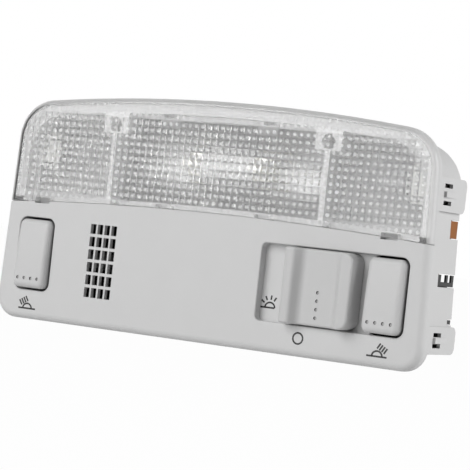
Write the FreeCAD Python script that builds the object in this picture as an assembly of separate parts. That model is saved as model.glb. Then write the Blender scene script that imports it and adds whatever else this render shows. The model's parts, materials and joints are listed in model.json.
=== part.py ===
import FreeCAD, Part
import math
import os
from FreeCAD import Vector

# Car interior light. X to the right, Y from the face into the roof, Z up the face.
# The seat plane against the roof lining is Y = 0 and the middle of the face is X = Z = 0.
# Lengths are millimetres, angles are degrees, heights count from the bottom edge.

# Face outline
bottom_width = 205.6
height = 99.0
side_taper = 1.9
bottom_corner = 9.5
top_corner = 17.0
arch_radius = 800.0
face_depth = 5.5
edge_radius = 3.0
fascia_wall = 2.0

# Joint between the lens and the fascia
seam_height = 53.2
seam_radius = 1500.0
seam_gap = 0.3
pry_slot_inset = 19.5
pry_slot_width = 7.5
pry_slot_height = 1.5
pry_notch_height = 0.8
pry_notch_depth = 4.0

# Box behind the face
flange_thickness = 1.8
box_side_inset = 4.2
box_top_inset = 4.5
box_bottom_inset = 7.0
box_bottom_corner = 4.0
box_top_corner = 19.5
box_wall = 1.8
box_depth = 28.0

# Side clips
clip_proud = 1.6
clip_start = 3.5
clip_overhang = 1.2
clip_corner = 3.0
upper_clip_height = 63.3
upper_clip_length = 13.5
lower_clip_height = 7.4
lower_clip_length = 11.0
clip_slit_start = 5.5
clip_slit_length = 7.0
clip_slit_width = 1.7
clip_slit_margin = 2.5
clip_rib_width = 2.2
clip_rib_length = 13.0
clip_rib_proud = 1.1
clip_skin = 1.4
clip_pocket_length = 17.0
clip_pocket_margin = 1.5

# Cut-outs in the right side of the box
window_height = 33.8
window_opening = 5.2
window_length = 15.3
notch_height = 19.0
notch_opening = 2.3
notch_length = 4.0
strip_window_height = 53.0
strip_window_opening = 7.5
strip_window_length = 7.5

# Lens
lens_wall = 2.0
prism_pitch = 3.1
prism_height = 0.6
prism_land = 0.15
prism_sink = 0.2
hook_x = 24.0
hook_width = 6.0
hook_thickness = 1.4
hook_length = 6.0
hook_barb = 1.0

# Lamp bays
deck_depth = 4.0
deck_thickness = 1.8
deck_rim = 2.0
partition_x = 51.0
partition_thickness = 2.2
boss_width = 12.0
boss_length = 7.0
roof_screw_inset = 5.0
roof_screw_radius = 2.2
roof_head_radius = 3.1
roof_head_depth = 4.0

# Reflectors
reflector_wall = 1.0
reflector_lip = 0.8
reflector_depth = 13.5
trough_radius = 20.0
bowl_radius = 29.0

# Tubular bulb and its brackets
festoon_length = 41.0
festoon_radius = 5.25
festoon_wall = 0.6
festoon_cap_radius = 4.1
festoon_cap_length = 8.0
festoon_tip_length = 2.4
festoon_tip_radius = 1.4
festoon_setback = 8.0
filament_radius = 0.25
bracket_thickness = 0.5
bracket_width = 8.0
bracket_foot = 6.0

# Wedge bulbs and their sockets
wedge_radius = 5.0
wedge_length = 26.0
wedge_wall = 0.6
wedge_base_length = 9.0
wedge_base_width = 9.2
wedge_base_thickness = 3.4
wedge_setback = 7.5
socket_length = 8.0
socket_width = 13.0
socket_thickness = 9.6
socket_base = 1.5
socket_contact_thickness = 0.5
socket_contact_width = 3.0

# Button openings and the long recess
opening_margin = 9.3
opening_height = 12.5
opening_length = 31.2
opening_width = 18.0
opening_corner = 3.5
opening_edge_round = 0.6
recess_length = 66.2
recess_depth = 4.0
recess_floor = 1.8
recess_corner = 2.0
collar_wall = 1.6
bridge_width = 3.0

# Reading buttons
button_side_gap = 0.8
button_end_gap = 0.9
button_proud_top = 1.7
button_proud_bottom = 3.2
button_bulge = 0.5
button_wall = 1.6
button_edge = 2.3
button_back = 5.0
button_arm_inset = 0.1
pivot_drop = 3.0
pivot_depth = 1.5
pivot_radius = 1.2
pivot_clearance = 0.05
pivot_lug = 2.6
finger_width = 4.0
finger_height = 19.5
finger_length = 8.5
dot_count = 4
dot_pitch = 3.4
dot_radius = 0.7
dot_depth = 0.5
dot_height = 17.5

# Contacts under the buttons
leaf_thickness = 0.4
leaf_width = 6.0
leaf_gap = 0.4
leaf_foot = 5.0
leaf_tip_drop = 4.0
stud_radius = 1.5
stud_travel = 1.6

# Selector
knob_width = 31.3
knob_end_gap = 0.5
knob_gap = 0.5
knob_proud = 6.5
scoop_proud = 3.0
ridge_width = 5.0
scoop_slope = 3.0
knob_wall = 1.6
knob_corner = 4.0
knob_round = 0.9
left_round = 3.0
ridge_round = 2.2
scoop_round = 3.5
slide_gap = 0.3
stem_width = 5.0
stem_length = 8.0
travel = 12.5
selector_dot_height = 16.3
selector_dot_pitch = 3.35
carriage_length = 15.0
carriage_width = 16.0
carriage_thickness = 2.6
spigot_inset = 0.8
spigot_gap = 0.05
detent_depth = 1.4
spring_thickness = 0.4
spring_width = 2.0
spring_gap = 0.3
spring_span = 26.0
spring_post = 2.0
bridge_thickness = 0.4
bridge_strip = 4.0
track_thickness = 0.4
track_width = 3.0
track_pitch = 5.0
track_gap = 0.2
contact_reach = 3.0

# Grille
grille_centre = -50.0
grille_height = 12.6
grille_columns = 4
grille_rows = 6
grille_pitch_x = 3.5
grille_pitch_z = 5.36
grille_hole_x = 2.7
grille_hole_z = 4.1

# Carrier at the rear
carrier_thickness = 2.0
carrier_recess = 2.0
carrier_gap = 0.3
platform_wall = 1.5
button_platform_depth = 9.0
button_platform_width = 14.0
button_platform_length = 19.0
selector_platform_width = 32.0
see_through_width = 11.0
tab_setback = 0.4
tab_root = 3.0
comb_thickness = 0.8
comb_bar = 2.0
comb_front_tooth = 3.4
comb_front_gap = 4.6
comb_middle_tooth = 1.7
comb_rear_gap = 3.1
screw_radius = 1.5
screw_clearance = 0.05
screw_length = 10.0
screw_head_radius = 3.0
screw_head_height = 2.0
screw_slot_width = 0.8
screw_slot_depth = 0.9
screw_boss_radius = 3.5
left_screw_inset = 9.5
right_screw_inset = 7.0
low_screw_height = 28.0
top_screw_drop = 5.5

# Plug socket
plug_x = -10.0
plug_height = 27.0
plug_width = 26.0
plug_opening = 11.0
plug_wall = 1.4
plug_length = 9.0
pin_columns = 5
pin_rows = 2
pin_pitch_x = 4.4
pin_pitch_z = 4.6
pin_width = 1.2
pin_thickness = 0.6
pin_length = 3.2
pin_root = 3.0

# Copper strips
busbar_thickness = 0.5
busbar_width = 5.0
strip_overlap = 4.0
strip_end_gap = 12.0

face_y = -face_depth
carrier_back = box_depth - carrier_recess
carrier_front = carrier_back - carrier_thickness
half_bottom = bottom_width / 2.0
slope = math.tan(math.radians(side_taper))
lean = math.radians(side_taper)
far = 400.0
eps = 0.01


def up(h):
    return h - height / 2.0


def side_x(h, inset):
    return half_bottom - slope * h - inset / math.cos(lean)


def arch_z(x, inset):
    return up(height) - arch_radius + math.sqrt((arch_radius - inset) ** 2 - x * x)


def box(x0, x1, y0, y1, z0, z1):
    return Part.makeBox(x1 - x0, y1 - y0, z1 - z0, Vector(x0, y0, z0))


def rod_x(radius, y, z, x0, x1):
    return Part.makeCylinder(radius, x1 - x0, Vector(x0, y, z), Vector(1, 0, 0))


def rod_y(radius, x, z, y0, y1):
    return Part.makeCylinder(radius, y1 - y0, Vector(x, y0, z), Vector(0, 1, 0))


def mirrored(shape):
    return shape.mirror(Vector(0, 0, 0), Vector(1, 0, 0))


def edges_at_y(shape, y):
    return [e for e in shape.Edges if all(abs(p.Y - y) < 1e-4 for p in e.Vertexes)]


def edges_along_y(shape):
    ends = [(e, e.Vertexes[0].Point, e.Vertexes[-1].Point) for e in shape.Edges]
    return [e for e, a, b in ends if abs(abs(b.y - a.y) - (b - a).Length) < 1e-6 and (b - a).Length > 0]


def rounded_prism(x0, x1, z0, z1, radius, y0, y1):
    block = box(x0, x1, y0, y1, z0, z1)
    return block.makeFillet(radius, edges_along_y(block))


def prism(points, direction):
    return Part.Face(Part.makePolygon(points + [points[0]])).extrude(direction)


def ribbon(points, thickness):
    # Outline of a bent strip of even thickness, from the line along its middle
    sides = [[], []]
    for i, p in enumerate(points):
        a = points[max(i - 1, 0)]
        b = points[min(i + 1, len(points) - 1)]
        n1 = normal(a, p) if i > 0 else normal(p, b)
        n2 = normal(p, b) if i < len(points) - 1 else n1
        m = (n1[0] + n2[0], n1[1] + n2[1])
        k = thickness / (m[0] * n1[0] + m[1] * n1[1])
        sides[0].append((p[0] + m[0] * k / 2.0, p[1] + m[1] * k / 2.0))
        sides[1].append((p[0] - m[0] * k / 2.0, p[1] - m[1] * k / 2.0))
    return sides[0] + sides[1][::-1]


def normal(a, b):
    d = math.hypot(b[0] - a[0], b[1] - a[1])
    return (-(b[1] - a[1]) / d, (b[0] - a[0]) / d)


def joined(pieces):
    return pieces[0].multiFuse(pieces[1:]).removeSplitter()


def as_solid(shape):
    return shape.Solids[0] if len(shape.Solids) == 1 else shape


def outline_prism(side, bottom, top, low_radius, high_radius, y0, y1):
    # The tapered face outline, drawn in by the given insets, as a slab from y0 to y1
    z_low = up(bottom)
    z_arch = up(height) - arch_radius
    radius = arch_radius - top
    low_z = z_low + low_radius
    low_x = side_x(bottom + low_radius, side) - low_radius / math.cos(lean)
    p = side_x(height / 2.0, side) - high_radius / math.cos(lean)
    reach = radius - high_radius
    a = 1.0 + slope * slope
    b = -2.0 * (p * slope + z_arch)
    c = p * p + z_arch * z_arch - reach * reach
    high_z = (-b + math.sqrt(b * b - 4.0 * a * c)) / (2.0 * a)
    high_x = p - slope * high_z
    out = (math.cos(lean), math.sin(lean))
    k = radius / reach
    top_point = (high_x * k, z_arch + (high_z - z_arch) * k)
    side_low = (low_x + low_radius * out[0], low_z + low_radius * out[1])
    side_high = (high_x + high_radius * out[0], high_z + high_radius * out[1])
    low_mid = (low_x + low_radius * math.sqrt(0.5), low_z - low_radius * math.sqrt(0.5))
    turn = (lean + math.atan2(top_point[1] - high_z, top_point[0] - high_x)) / 2.0
    high_mid = (high_x + high_radius * math.cos(turn), high_z + high_radius * math.sin(turn))

    def at(q, side_sign):
        return Vector(side_sign * q[0], y0, q[1])

    edges = [Part.makeLine(at((low_x, z_low), -1), at((low_x, z_low), 1))]
    edges.append(Part.Arc(at((low_x, z_low), 1), at(low_mid, 1), at(side_low, 1)).toShape())
    edges.append(Part.makeLine(at(side_low, 1), at(side_high, 1)))
    edges.append(Part.Arc(at(side_high, 1), at(high_mid, 1), at(top_point, 1)).toShape())
    crown = Vector(0, y0, z_arch + radius)
    edges.append(Part.Arc(at(top_point, 1), crown, at(top_point, -1)).toShape())
    edges.append(Part.Arc(at(top_point, -1), at(high_mid, -1), at(side_high, -1)).toShape())
    edges.append(Part.makeLine(at(side_high, -1), at(side_low, -1)))
    edges.append(Part.Arc(at(side_low, -1), at(low_mid, -1), at((low_x, z_low), -1)).toShape())
    return Part.Face(Part.Wire(edges)).extrude(Vector(0, y1 - y0, 0))


def face_slab(inset, y0, y1):
    return outline_prism(inset, inset, inset, bottom_corner - inset, top_corner - inset, y0, y1)


def box_slab(inset, y0, y1):
    low = box_bottom_corner - min(inset, box_bottom_corner - 1.0)
    return outline_prism(box_side_inset + inset, box_bottom_inset + inset, box_top_inset + inset,
                         low, box_top_corner - inset, y0, y1)


def soft_slab(inset, y0, y1):
    slab = face_slab(inset, y0, y1)
    return slab.makeFillet(edge_radius - inset, edges_at_y(slab, y0))


def seam_drum(rise):
    # Everything below the curved joint line, raised by the given amount
    centre = up(seam_height) - seam_radius
    return Part.makeCylinder(seam_radius + rise, 2 * far, Vector(0, -far, centre), Vector(0, 1, 0))


def seam_z(x, rise):
    return up(seam_height) - seam_radius + math.sqrt((seam_radius + rise) ** 2 - x * x)


# Shared positions
opening_x1 = half_bottom - opening_margin
opening_x0 = opening_x1 - opening_width
opening_z0 = up(opening_height)
opening_z1 = opening_z0 + opening_length
opening_mid = (opening_x0 + opening_x1) / 2.0
recess_x0 = opening_x1 - recess_length
floor_y = face_y + recess_depth
floor_back = floor_y + recess_floor
knob_x1 = opening_x0 - bridge_width - knob_end_gap
knob_x0 = knob_x1 - knob_width
knob_mid = (knob_x0 + knob_x1) / 2.0
recess_mid_z = (opening_z0 + opening_z1) / 2.0
pivot_z = opening_z1 - pivot_drop
divider_top = -seam_gap / 2.0
divider_low = divider_top - fascia_wall
deck_back = deck_depth + deck_thickness
lens_inner = face_y + lens_wall
prism_tip = lens_inner + prism_land + prism_height
partition_front = prism_tip + slide_gap
boss_z = arch_z(partition_x, box_top_inset + box_wall) - roof_screw_inset
bay_low = seam_z(0, deck_rim + seam_gap)
bay_high = arch_z(0, box_top_inset + box_wall + deck_rim)
bay_mid = (bay_low + bay_high) / 2.0
festoon_y = deck_depth + festoon_setback
wedge_y = deck_depth + wedge_setback
inner_x = side_x(bay_mid + height / 2.0, box_side_inset + box_wall)
bay_x0 = partition_x + partition_thickness / 2.0
bay_x1 = inner_x - deck_rim
bowl_x = (bay_x0 + bay_x1) / 2.0
wedge_end = inner_x - slide_gap - socket_base
wedge_tip = wedge_end - wedge_length
carriage_y0 = floor_back + slide_gap
carriage_y1 = carriage_y0 + carriage_thickness
track_y = carriage_y1 + contact_reach + track_gap
selector_platform_y = track_y + track_thickness
finger_back = floor_y - slide_gap + finger_length - recess_depth
leaf_y = finger_back + leaf_gap
screws = [(left_screw_inset - opening_x0, up(low_screw_height)),
          (opening_x0 - right_screw_inset, up(low_screw_height)),
          (0.0, seam_z(0, divider_low) - top_screw_drop)]


def button_front_y(z):
    # Front of the button cap on its slope, without the bulge
    z0 = opening_z0 + button_end_gap
    z1 = opening_z1 - button_end_gap
    part = (z - z0) / (z1 - z0)
    return face_y - button_proud_bottom + (button_proud_bottom - button_proud_top) * part


def make_lens():
    back = -flange_thickness
    body = soft_slab(0.0, face_y, back).cut(seam_drum(seam_gap / 2.0))
    inner = soft_slab(lens_wall, lens_inner, back).cut(seam_drum(seam_gap / 2.0 + lens_wall))
    lens = body.cut(inner)
    pieces = [lens, prism_field()]
    hook_back = lens_inner + hook_length
    for x in (-hook_x, hook_x):
        top = arch_z(x, box_top_inset + box_wall) - slide_gap
        x0 = x - hook_width / 2.0
        arm = box(x0, x0 + hook_width, lens_inner - prism_sink, hook_back, top - hook_thickness, top)
        barb = prism([Vector(x0, hook_back, top - eps), Vector(x0, hook_back - 2.0 * hook_barb, top - eps),
                      Vector(x0, hook_back - 2.0 * hook_barb, top + hook_barb)], Vector(hook_width, 0, 0))
        low = seam_z(x, divider_top) + slide_gap
        tongue = box(x0, x0 + hook_width, lens_inner - prism_sink, hook_back, low, low + hook_thickness)
        catch = prism([Vector(x0, hook_back, low + eps), Vector(x0, hook_back - 2.0 * hook_barb, low + eps),
                       Vector(x0, hook_back - 2.0 * hook_barb, low - hook_barb)], Vector(hook_width, 0, 0))
        pieces += [arm, barb, tongue, catch]
    lens = joined(pieces)
    for x in (-half_bottom + pry_slot_inset, half_bottom - pry_slot_inset):
        z = seam_z(x, seam_gap / 2.0)
        lens = lens.cut(box(x - pry_slot_width / 2.0, x + pry_slot_width / 2.0, face_y - eps,
                            -flange_thickness + eps, z - 1.0, z + pry_slot_height))
    return as_solid(lens)


def prism_field():
    # Square prisms on the inside of the lens, one closed skin with stepped rims
    inset = lens_wall + seam_gap
    count_x = int(2 * half_bottom / prism_pitch)
    count_z = int(height / prism_pitch)
    base = lens_inner + prism_land
    root = lens_inner - prism_sink
    x_first = -count_x * prism_pitch / 2.0
    z_first = seam_z(0, lens_wall + seam_gap)
    hook_zone = hook_thickness + 2.0 * slide_gap

    def inside(i, j):
        x0 = x_first + i * prism_pitch
        z0 = z_first + (j - 2) * prism_pitch
        ok = True
        for x in (x0, x0 + prism_pitch):
            for z in (z0, z0 + prism_pitch):
                deep = seam_z(x, lens_wall + seam_gap)
                corner_x = side_x(z + height / 2.0, inset) - top_corner + inset
                corner_z = arch_z(corner_x, inset) - top_corner + inset
                past = math.hypot(max(abs(x) - corner_x, 0.0), max(z - corner_z, 0.0))
                ok = ok and z > deep and z < arch_z(x, inset) and past < top_corner - inset
                ok = ok and abs(x) < side_x(z + height / 2.0, inset)
                under_hook = abs(abs(x) - hook_x) < hook_width / 2.0 + slide_gap
                ok = ok and not (under_hook and abs(z - arch_z(x, box_top_inset + box_wall)) < 2 * hook_zone)
        return ok

    cells = set((i, j) for i in range(count_x) for j in range(count_z) if inside(i, j))
    cells = set(c for c in cells if (c[0] - 1, c[1]) in cells or (c[0] + 1, c[1]) in cells)
    faces = []

    def facet(points):
        faces.append(Part.Face(Part.makePolygon(points + [points[0]])))

    for i, j in sorted(cells):
        x0 = x_first + i * prism_pitch
        z0 = z_first + (j - 2) * prism_pitch
        x1 = x0 + prism_pitch
        z1 = z0 + prism_pitch
        ring = [(x0, z0, i, j - 1), (x1, z0, i + 1, j), (x1, z1, i, j + 1), (x0, z1, i - 1, j)]
        tip = Vector((x0 + x1) / 2.0, base + prism_height, (z0 + z1) / 2.0)
        for k in range(4):
            a = ring[k]
            b = ring[(k + 1) % 4]
            facet([Vector(a[0], base, a[1]), Vector(b[0], base, b[1]), tip])
            if (a[2], a[3]) not in cells:
                facet([Vector(a[0], base, a[1]), Vector(b[0], base, b[1]),
                       Vector(b[0], root, b[1]), Vector(a[0], root, a[1])])
        facet([Vector(q[0], root, q[1]) for q in ring])
    skin = Part.Compound(faces)
    skin.sewShape()
    return Part.Solid(skin.Shells[0]).removeSplitter()


def lamp_bays(extra, y0, y1):
    # The three openings of the deck, grown by the given amount
    inset = box_wall + deck_rim - extra
    area = box_slab(inset, y0, y1).cut(seam_drum(deck_rim + seam_gap - extra))
    half = partition_thickness / 2.0 - extra
    for x in (-partition_x, partition_x):
        area = area.cut(box(x - half, x + half, y0 - 1, y1 + 1, -far, far))
        block = boss_width / 2.0 - extra
        area = area.cut(box(x - block, x + block, y0 - 1, y1 + 1, boss_z - boss_length / 2.0 + extra, far))
    return area


def roof_bosses(extra, y0, y1):
    half = boss_width / 2.0 + extra
    low = boss_z - boss_length / 2.0 - extra
    left = box(-partition_x - half, -partition_x + half, y0, y1, low, up(height))
    return left.fuse(mirrored(left))


def side_clip(low, length):
    mid = side_x(low + length / 2.0, box_side_inset)
    rear = box_depth + clip_overhang
    pad = box(mid - box_wall, mid + clip_proud, clip_start, rear, up(low), up(low) + length)
    ends = [e for e in pad.Edges if all(abs(q.Y - rear) < 1e-4 for q in e.Vertexes)]
    pad = pad.makeFillet(clip_corner, [e for e in ends if abs(e.Vertexes[0].Z - e.Vertexes[1].Z) < 1e-6])
    z = up(low) + length / 2.0
    top = mid + clip_proud
    y0 = clip_start + clip_slit_start
    rib = prism([Vector(top - eps, y0, z - clip_rib_width / 2.0),
                 Vector(top + clip_rib_proud, y0, z - clip_rib_width / 2.0),
                 Vector(top - eps, y0 + clip_rib_length, z - clip_rib_width / 2.0)],
                Vector(0, 0, clip_rib_width))
    return pad.fuse(rib)


def clip_slits(low, length):
    mid = side_x(low + length / 2.0, box_side_inset)
    cuts = []
    for z in (up(low) + clip_slit_margin, up(low) + length - clip_slit_margin - clip_slit_width):
        y0 = clip_start + clip_slit_start
        cuts.append(box(mid - 2 * box_wall, mid + 2 * clip_proud, y0, y0 + clip_slit_length,
                        z, z + clip_slit_width))
    return cuts


def clip_pocket(low, length):
    # Hollow behind a clip, which leaves it a thin springy skin
    mid = side_x(low + length / 2.0, box_side_inset)
    return box(mid - 2 * box_wall, mid + clip_proud - clip_skin, deck_back + slide_gap,
               clip_start + clip_pocket_length,
               up(low) + clip_pocket_margin, up(low) + length - clip_pocket_margin)


def make_housing():
    inner_front = face_y + fascia_wall
    shell = soft_slab(0.0, face_y, 0.0).common(seam_drum(divider_top))
    shell = shell.cut(soft_slab(fascia_wall, inner_front, 0.0).common(seam_drum(divider_low)))
    flange = face_slab(0.0, -flange_thickness, 0.0)
    hollow = box_slab(box_wall, -flange_thickness, box_depth)
    walls = box_slab(0.0, -flange_thickness, box_depth)
    frame = flange.fuse(walls).cut(hollow)
    divider = seam_drum(divider_top).cut(seam_drum(divider_low))
    divider = divider.common(box_slab(box_wall - eps, -flange_thickness, carrier_front))
    deck = box_slab(box_wall - eps, deck_depth, deck_back).cut(seam_drum(divider_low + eps))
    deck = deck.cut(lamp_bays(0.0, deck_depth - 1, deck_back + 1))
    pieces = [shell, frame, divider, deck]
    inside = box_slab(box_wall - eps, partition_front, box_depth)
    skirt = box(-far, far, face_y, -flange_thickness + slide_gap, -far, far)
    skirt = skirt.common(seam_drum(seam_gap / 2.0 + lens_wall + slide_gap))
    for x in (-partition_x, partition_x):
        wall = box(x - partition_thickness / 2.0, x + partition_thickness / 2.0,
                   partition_front, deck_back, -far, far)
        pieces.append(wall.common(inside).cut(seam_drum(divider_low + eps)).cut(skirt))
    pieces.append(roof_bosses(0.0, partition_front, box_depth).common(inside))
    grow = collar_wall
    recess = rounded_prism(recess_x0 - grow, opening_x1 + grow, opening_z0 - grow, opening_z1 + grow,
                           opening_corner + grow, inner_front - eps, floor_back)
    collar = rounded_prism(-opening_x1 - grow, -opening_x0 + grow, opening_z0 - grow, opening_z1 + grow,
                           opening_corner + grow, inner_front - eps, floor_back)
    pieces += [recess, collar]
    for x in (-opening_x1 - grow, -opening_x0, opening_x0 - grow, opening_x1):
        pieces.append(box(x, x + grow, floor_y, pivot_depth + pivot_lug,
                          pivot_z - pivot_lug, opening_z1 + grow))
    for x, z in screws:
        pieces.append(rod_y(screw_boss_radius, x, z, inner_front - eps, carrier_front))
    for low, length in ((upper_clip_height, upper_clip_length), (lower_clip_height, lower_clip_length)):
        clip = side_clip(low, length)
        pieces += [clip, mirrored(clip)]
    reach = spring_span / 2.0
    spring_z = recess_mid_z + carriage_width / 2.0
    for x in (knob_mid - reach - spring_post, knob_mid + reach):
        pieces.append(box(x, x + spring_post, floor_back - eps, carriage_y1,
                          spring_z, spring_z + 2 * spring_post))
    body = joined(pieces)
    cuts = [rounded_prism(recess_x0, opening_mid, opening_z0, opening_z1, recess_corner, face_y - 1, floor_y)]
    for x0, x1 in ((-opening_x1, -opening_x0), (opening_x0, opening_x1)):
        cuts.append(rounded_prism(x0, x1, opening_z0, opening_z1, opening_corner, face_y - 1, floor_back + 1))
        cuts.append(rod_x(pivot_radius + pivot_clearance, pivot_depth, pivot_z,
                          x0 - grow - eps, x1 + grow + eps))
    slot_half = stem_length / 2.0 + slide_gap
    cuts.append(box(knob_mid - stem_width / 2.0 - travel - slide_gap, knob_mid + stem_width / 2.0 + slide_gap,
                    floor_y - eps, floor_back + eps, recess_mid_z - slot_half, recess_mid_z + slot_half))
    x_first = grille_centre - (grille_columns - 1) * grille_pitch_x / 2.0 - grille_hole_x / 2.0
    for i in range(grille_columns):
        for j in range(grille_rows):
            x = x_first + i * grille_pitch_x
            z = up(grille_height) + j * grille_pitch_z
            cuts.append(box(x, x + grille_hole_x, face_y - 1, inner_front + 1, z, z + grille_hole_z))
    for x in (-partition_x, partition_x):
        cuts.append(rod_y(roof_screw_radius, x, boss_z, partition_front - 1, box_depth + 1))
        cuts.append(rod_y(roof_head_radius, x, boss_z,
                          partition_front - 1, partition_front + roof_head_depth))
    for x, z in screws:
        cuts.append(rod_y(screw_radius + screw_clearance, x, z, carrier_back - screw_length - 1, box_depth))
    for low, length in ((upper_clip_height, upper_clip_length), (lower_clip_height, lower_clip_length)):
        hollows = clip_slits(low, length) + [clip_pocket(low, length)]
        cuts += hollows + [mirrored(h) for h in hollows]
    right = side_x(0.0, 0.0)
    for low, opening, length in ((window_height, window_opening, window_length),
                                 (notch_height, notch_opening, notch_length),
                                 (strip_window_height, strip_window_opening, strip_window_length)):
        wall_x = side_x(low, box_side_inset + box_wall) - 2.0
        cuts.append(box(wall_x, right, box_depth - length, box_depth + 1, up(low), up(low) + opening))
    for x in (-half_bottom + pry_slot_inset, half_bottom - pry_slot_inset):
        z = seam_z(x, divider_top)
        cuts.append(box(x - pry_slot_width / 2.0, x + pry_slot_width / 2.0, face_y - 1,
                        face_y + pry_notch_depth, z - pry_notch_height, z + 1.0))
    for x in (-hook_x, hook_x):
        half = hook_width / 2.0 + slide_gap
        back = lens_inner + hook_length + slide_gap
        front = back - 2.0 * hook_barb - 2.0 * slide_gap
        top = arch_z(x, box_top_inset + box_wall)
        low = seam_z(x, divider_top)
        deep = hook_barb + slide_gap
        cuts.append(box(x - half, x + half, front, back, top - 1.0, top + deep))
        cuts.append(box(x - half, x + half, front, back, low - deep, low + 1.0))
    body = body.cut(cuts)
    rims = []
    for e in edges_at_y(body, face_y):
        c = e.CenterOfMass
        in_height = opening_z0 - eps < c.z < opening_z1 + eps
        in_recess = recess_x0 - eps < c.x < opening_x1 + eps
        if in_height and (in_recess or -opening_x1 - eps < c.x < -opening_x0 + eps):
            rims.append(e)
    return as_solid(body.makeFillet(opening_edge_round, rims).removeSplitter())


def make_reflectors():
    front = deck_back
    back = front + reflector_depth
    lip = lamp_bays(reflector_wall, front, front + reflector_lip)
    outer = lamp_bays(reflector_wall - eps, front, back + 3 * reflector_wall)
    inner = lamp_bays(0.0, front - 1, back + 3 * reflector_wall)
    lip = lip.cut(roof_bosses(slide_gap, front - 1, back + 5))
    outer = outer.cut(roof_bosses(slide_gap, front - 1, back + 5))
    inner = inner.cut(roof_bosses(slide_gap + reflector_wall, front - 2, back + 5))
    centre = back - trough_radius
    long_in = rod_x(trough_radius, centre, bay_mid, -far, far)
    long_out = rod_x(trough_radius + reflector_wall, centre, bay_mid, -far, far)
    middle = box(-partition_x, partition_x, front - 2, back + 5, -far, far)
    shell = outer.common(long_out).fuse(lip).common(middle).cut(inner.common(long_in).common(middle))
    foot = festoon_length / 2.0
    for x in (-foot, foot):
        shell = shell.cut(box(x - 2.0, x + 2.0, front + 4.0, back + 3.0,
                              bay_mid - bracket_width / 2.0 - 0.5, bay_mid + bracket_width / 2.0 + 0.5))
    dish = (bowl_radius * bowl_radius + reflector_depth * reflector_depth) / (2.0 * reflector_depth)
    ball = Part.makeSphere(dish, Vector(bowl_x, back - dish, bay_mid))
    ball_out = Part.makeSphere(dish + reflector_wall, Vector(bowl_x, back - dish, bay_mid))
    right = box(partition_x, far, front - 2, back + 5, -far, far)
    bowl = outer.common(ball_out).fuse(lip).common(right).cut(inner.common(ball).common(right))
    half = socket_width / 2.0 + slide_gap
    bowl = bowl.cut(box(wedge_end - socket_length - 1.0, far, front - 1, back + 5,
                        bay_mid - half, bay_mid + half))
    bowl = bowl.cut(rod_x(wedge_radius + slide_gap, wedge_y, bay_mid, wedge_tip, far))
    bowl = as_solid(bowl.removeSplitter())
    return as_solid(shell.removeSplitter()), mirrored(bowl), bowl


def make_festoon():
    half = festoon_length / 2.0
    cap_x = half - festoon_cap_length
    glass = rod_x(festoon_radius, festoon_y, bay_mid, -cap_x, cap_x)
    glass = glass.cut(rod_x(festoon_radius - festoon_wall, festoon_y, bay_mid, -cap_x, cap_x))
    shoulder = half - festoon_tip_length
    cap = rod_x(festoon_cap_radius, festoon_y, bay_mid, cap_x, shoulder)
    tip = Part.makeCone(festoon_cap_radius, festoon_tip_radius, festoon_tip_length,
                        Vector(shoulder, festoon_y, bay_mid), Vector(1, 0, 0))
    rim = rod_x(festoon_radius, festoon_y, bay_mid, cap_x, cap_x + 1.0)
    cap = joined([cap, tip, rim])
    wire = rod_x(filament_radius, festoon_y, bay_mid, -cap_x, cap_x)
    caps = Part.Compound([mirrored(cap), cap])
    return glass, caps, wire


def make_bracket():
    # Spring bracket: foot on the carrier, upright with a hole for the bulb's tip
    shoulder = festoon_length / 2.0 - festoon_tip_length
    x = shoulder + festoon_tip_length / 2.0
    t = bracket_thickness / 2.0
    half = bracket_width / 2.0
    front = festoon_y - half
    plate = box(x - t, x + t, front, carrier_front, bay_mid - half, bay_mid + half)
    plate = plate.makeFillet(half - 1.0, [e for e in plate.Edges
                                          if all(abs(q.Y - front) < 1e-4 for q in e.Vertexes)
                                          and abs(e.Vertexes[0].Z - e.Vertexes[1].Z) < 1e-6])
    share = (festoon_tip_length / 2.0 - t) / festoon_tip_length
    hole = festoon_cap_radius - (festoon_cap_radius - festoon_tip_radius) * share + 0.1
    plate = plate.cut(rod_x(hole, festoon_y, bay_mid, x - 1, x + 1))
    foot = box(x - t, x + bracket_foot, carrier_front - bracket_thickness, carrier_front,
               bay_mid - half, bay_mid + half)
    return as_solid(plate.fuse(foot).removeSplitter())


def make_wedge_bulb():
    neck = wedge_end - wedge_base_length
    tube_end = wedge_tip + wedge_radius
    envelope = rod_x(wedge_radius, wedge_y, bay_mid, tube_end, neck)
    envelope = envelope.fuse(Part.makeSphere(wedge_radius, Vector(tube_end, wedge_y, bay_mid)))
    r = wedge_radius - wedge_wall
    hollow = rod_x(r, wedge_y, bay_mid, tube_end, neck - 1.0)
    hollow = hollow.fuse(Part.makeSphere(r, Vector(tube_end, wedge_y, bay_mid)))
    base = box(neck - eps, wedge_end,
               wedge_y - wedge_base_thickness / 2.0, wedge_y + wedge_base_thickness / 2.0,
               bay_mid - wedge_base_width / 2.0, bay_mid + wedge_base_width / 2.0)
    glass = as_solid(envelope.cut(hollow).fuse(base).removeSplitter())
    legs = []
    span = wedge_radius / 2.0
    for s in (-span, span):
        legs.append(rod_x(filament_radius, wedge_y, bay_mid + s, tube_end, neck - 1.0))
    foot = Vector(tube_end + filament_radius, wedge_y, bay_mid - span)
    coil = Part.makeCylinder(filament_radius, 2 * span, foot)
    return glass, as_solid(joined(legs + [coil]))


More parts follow.
